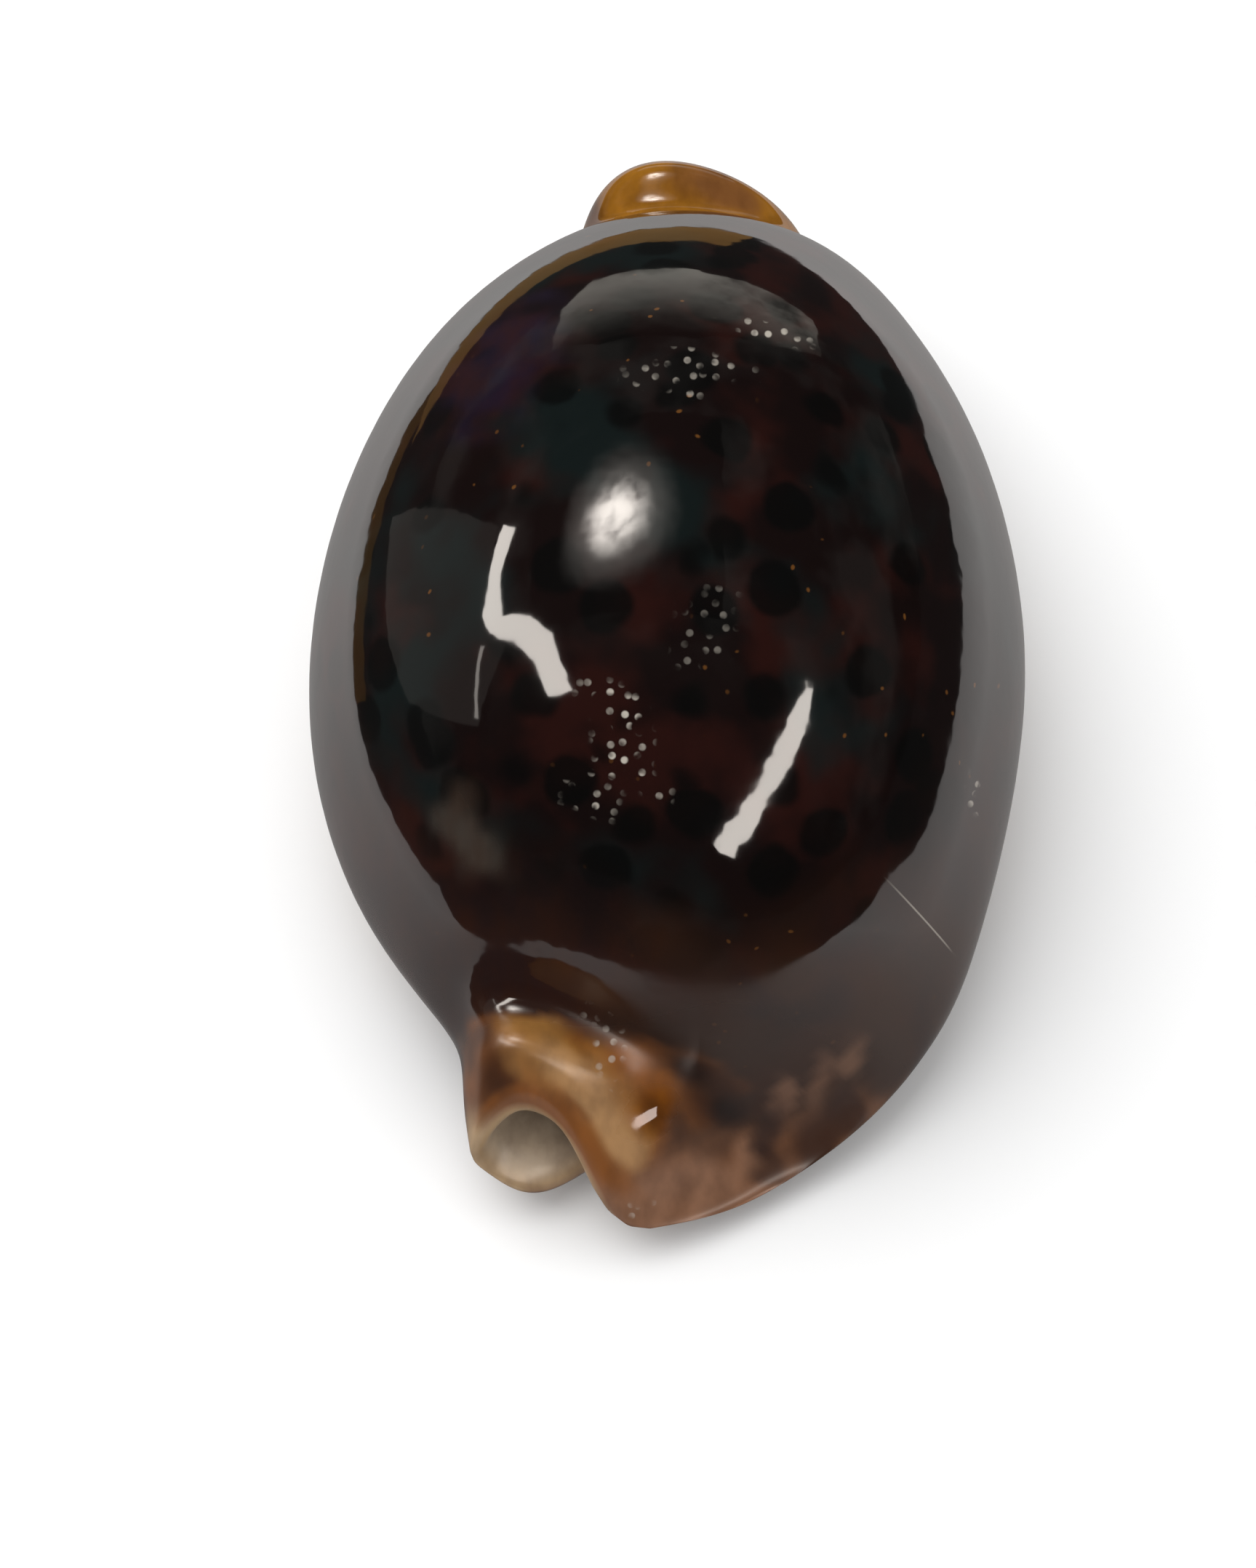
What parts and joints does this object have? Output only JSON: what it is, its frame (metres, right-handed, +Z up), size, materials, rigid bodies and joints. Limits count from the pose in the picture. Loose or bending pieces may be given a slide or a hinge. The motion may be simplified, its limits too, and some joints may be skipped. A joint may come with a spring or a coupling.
{
  "type": "panther cowrie shell",
  "caption": "Polished egg-shaped sea shell, domed above and flat below, with a long toothed slit and an open canal at each end; a display piece that rests on its base.",
  "frame": {"origin": "on the surface that the shell lies on, under the middle of its bounding box", "axes": "+Z up from the base to the back, +Y along the length to the anterior end, +X to the side of the outer lip"},
  "size_m": [0.0409, 0.0678, 0.0325],
  "materials": {
    "shell": "gloss"
  },
  "bodies": {
    "root": {"shell": "shell"}
  },
  "joints": []
}
